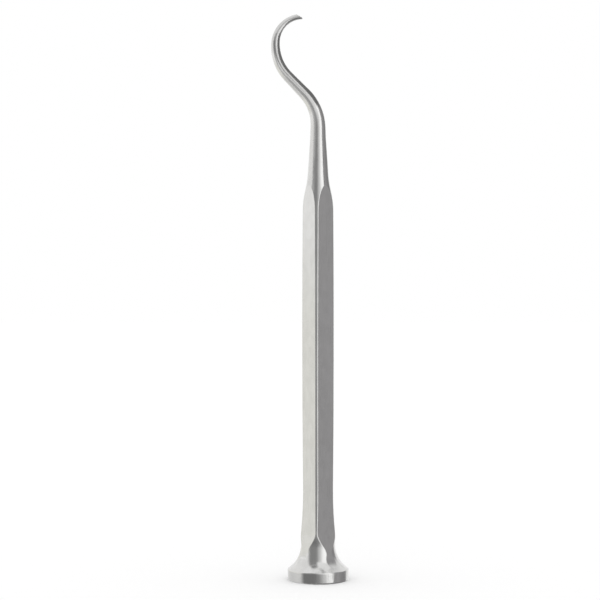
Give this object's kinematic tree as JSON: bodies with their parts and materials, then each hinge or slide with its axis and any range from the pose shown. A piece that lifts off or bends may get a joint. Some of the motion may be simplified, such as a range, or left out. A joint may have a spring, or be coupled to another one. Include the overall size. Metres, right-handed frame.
{
  "type": "bone awl",
  "caption": "Hand-held bone awl: round striking head, square handle with softened corners, and a tapered neck bent into a bevel-pointed hook.",
  "frame": {"origin": "centre of the flat striking face, on which the awl stands", "axes": "+Z along the handle towards the hook; the hook lies in the XZ plane, leaves the axis towards -X and its point looks towards +X; the handle's four corners face +X, +Y, -X and -Y"},
  "size_m": [0.0276, 0.0216, 0.2001],
  "materials": {
    "steel": "satin stainless steel, finely ground"
  },
  "bodies": {
    "root": {"bone_awl": "steel"}
  },
  "joints": []
}
